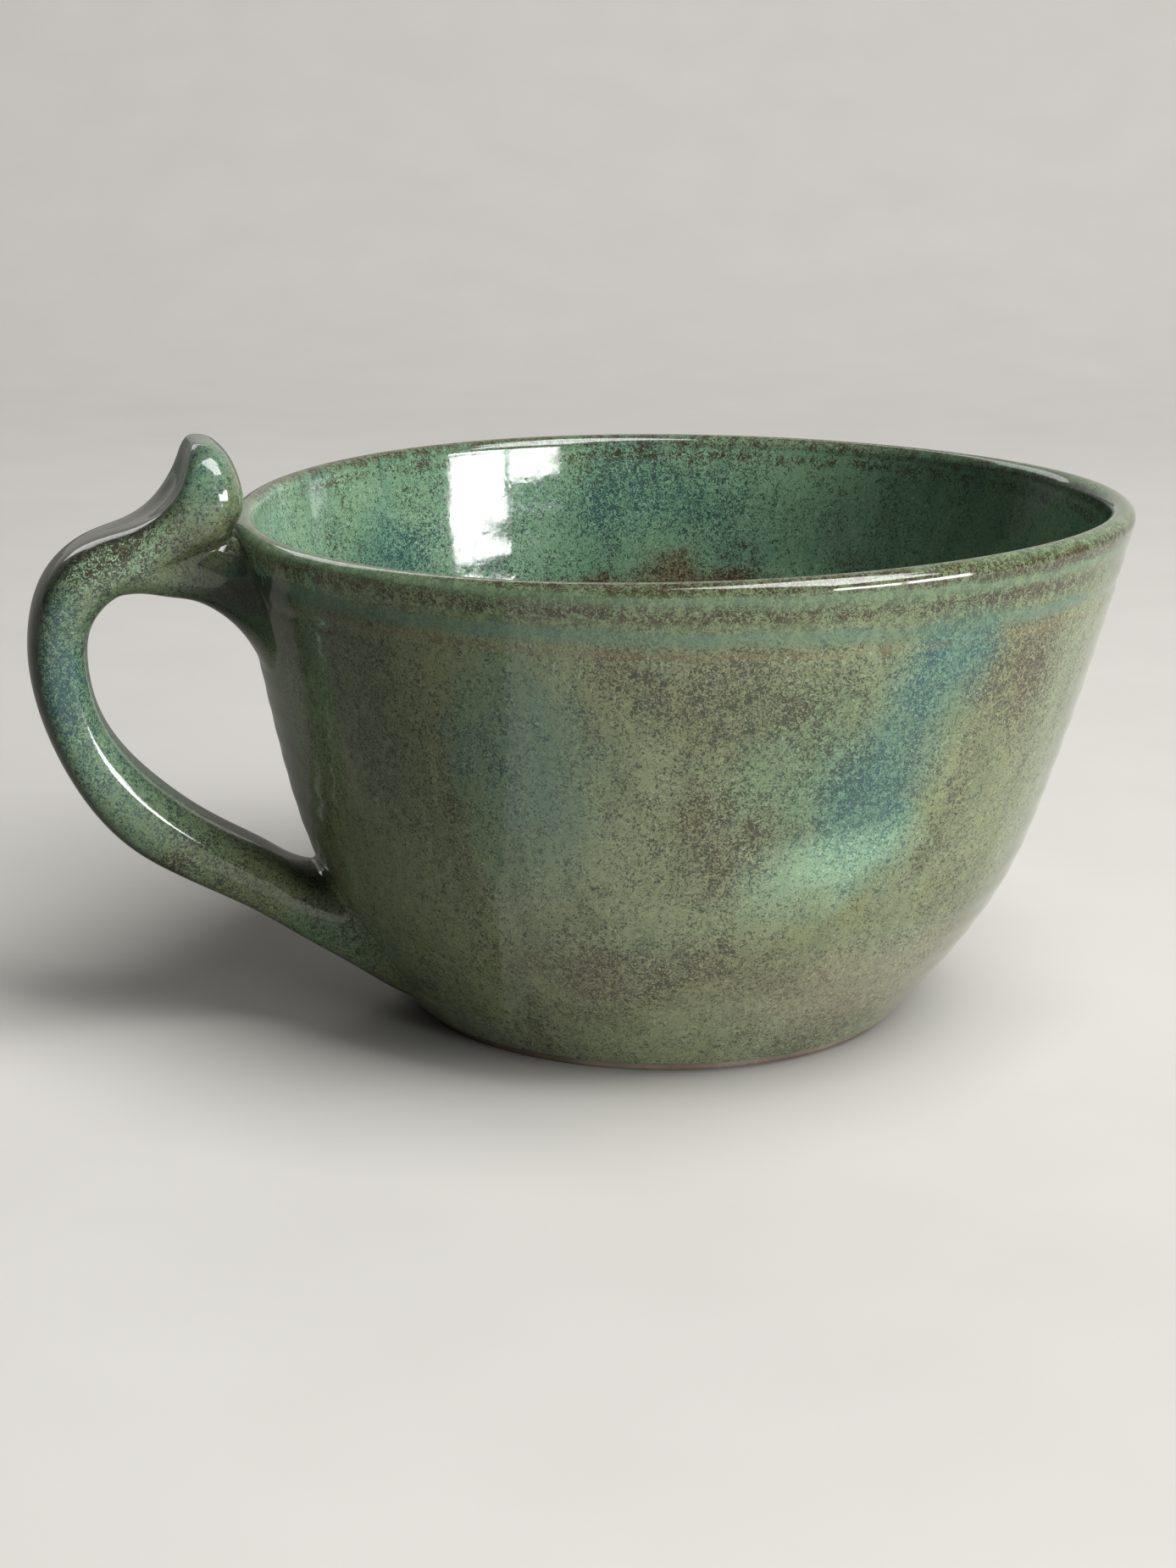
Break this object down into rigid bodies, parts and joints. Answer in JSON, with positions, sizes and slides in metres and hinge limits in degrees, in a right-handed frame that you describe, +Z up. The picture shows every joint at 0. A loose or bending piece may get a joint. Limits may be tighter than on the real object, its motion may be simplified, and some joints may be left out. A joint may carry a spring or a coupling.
{
  "type": "ceramic mug",
  "caption": "Wide, low stoneware mug: round thrown bowl on a turned foot ring, pulled ear handle with a curled thumb rest, glossy green mottled glaze.",
  "frame": {"origin": "on the bowl's axis, in the plane that the foot ring rests on", "axes": "+Z up along the bowl's axis; the handle points along -X, so X is the object's length; -Z is the way the foot faces"},
  "size_m": [0.1408, 0.115, 0.0753],
  "materials": {
    "clay": "bare fired stoneware, matt",
    "glazed_clay": "glossy mottled green over brown",
    "outer_glaze": "glossy sage green, mottled teal and brown",
    "liner_glaze": "glossy mint green, mottled teal"
  },
  "bodies": {
    "root": {"bowl": "clay", "handle": "glazed_clay", "thumb_rest": "glazed_clay", "upper_coil": "glazed_clay", "lower_coil": "glazed_clay", "outer_glaze": "outer_glaze", "liner_glaze": "liner_glaze"}
  },
  "joints": []
}
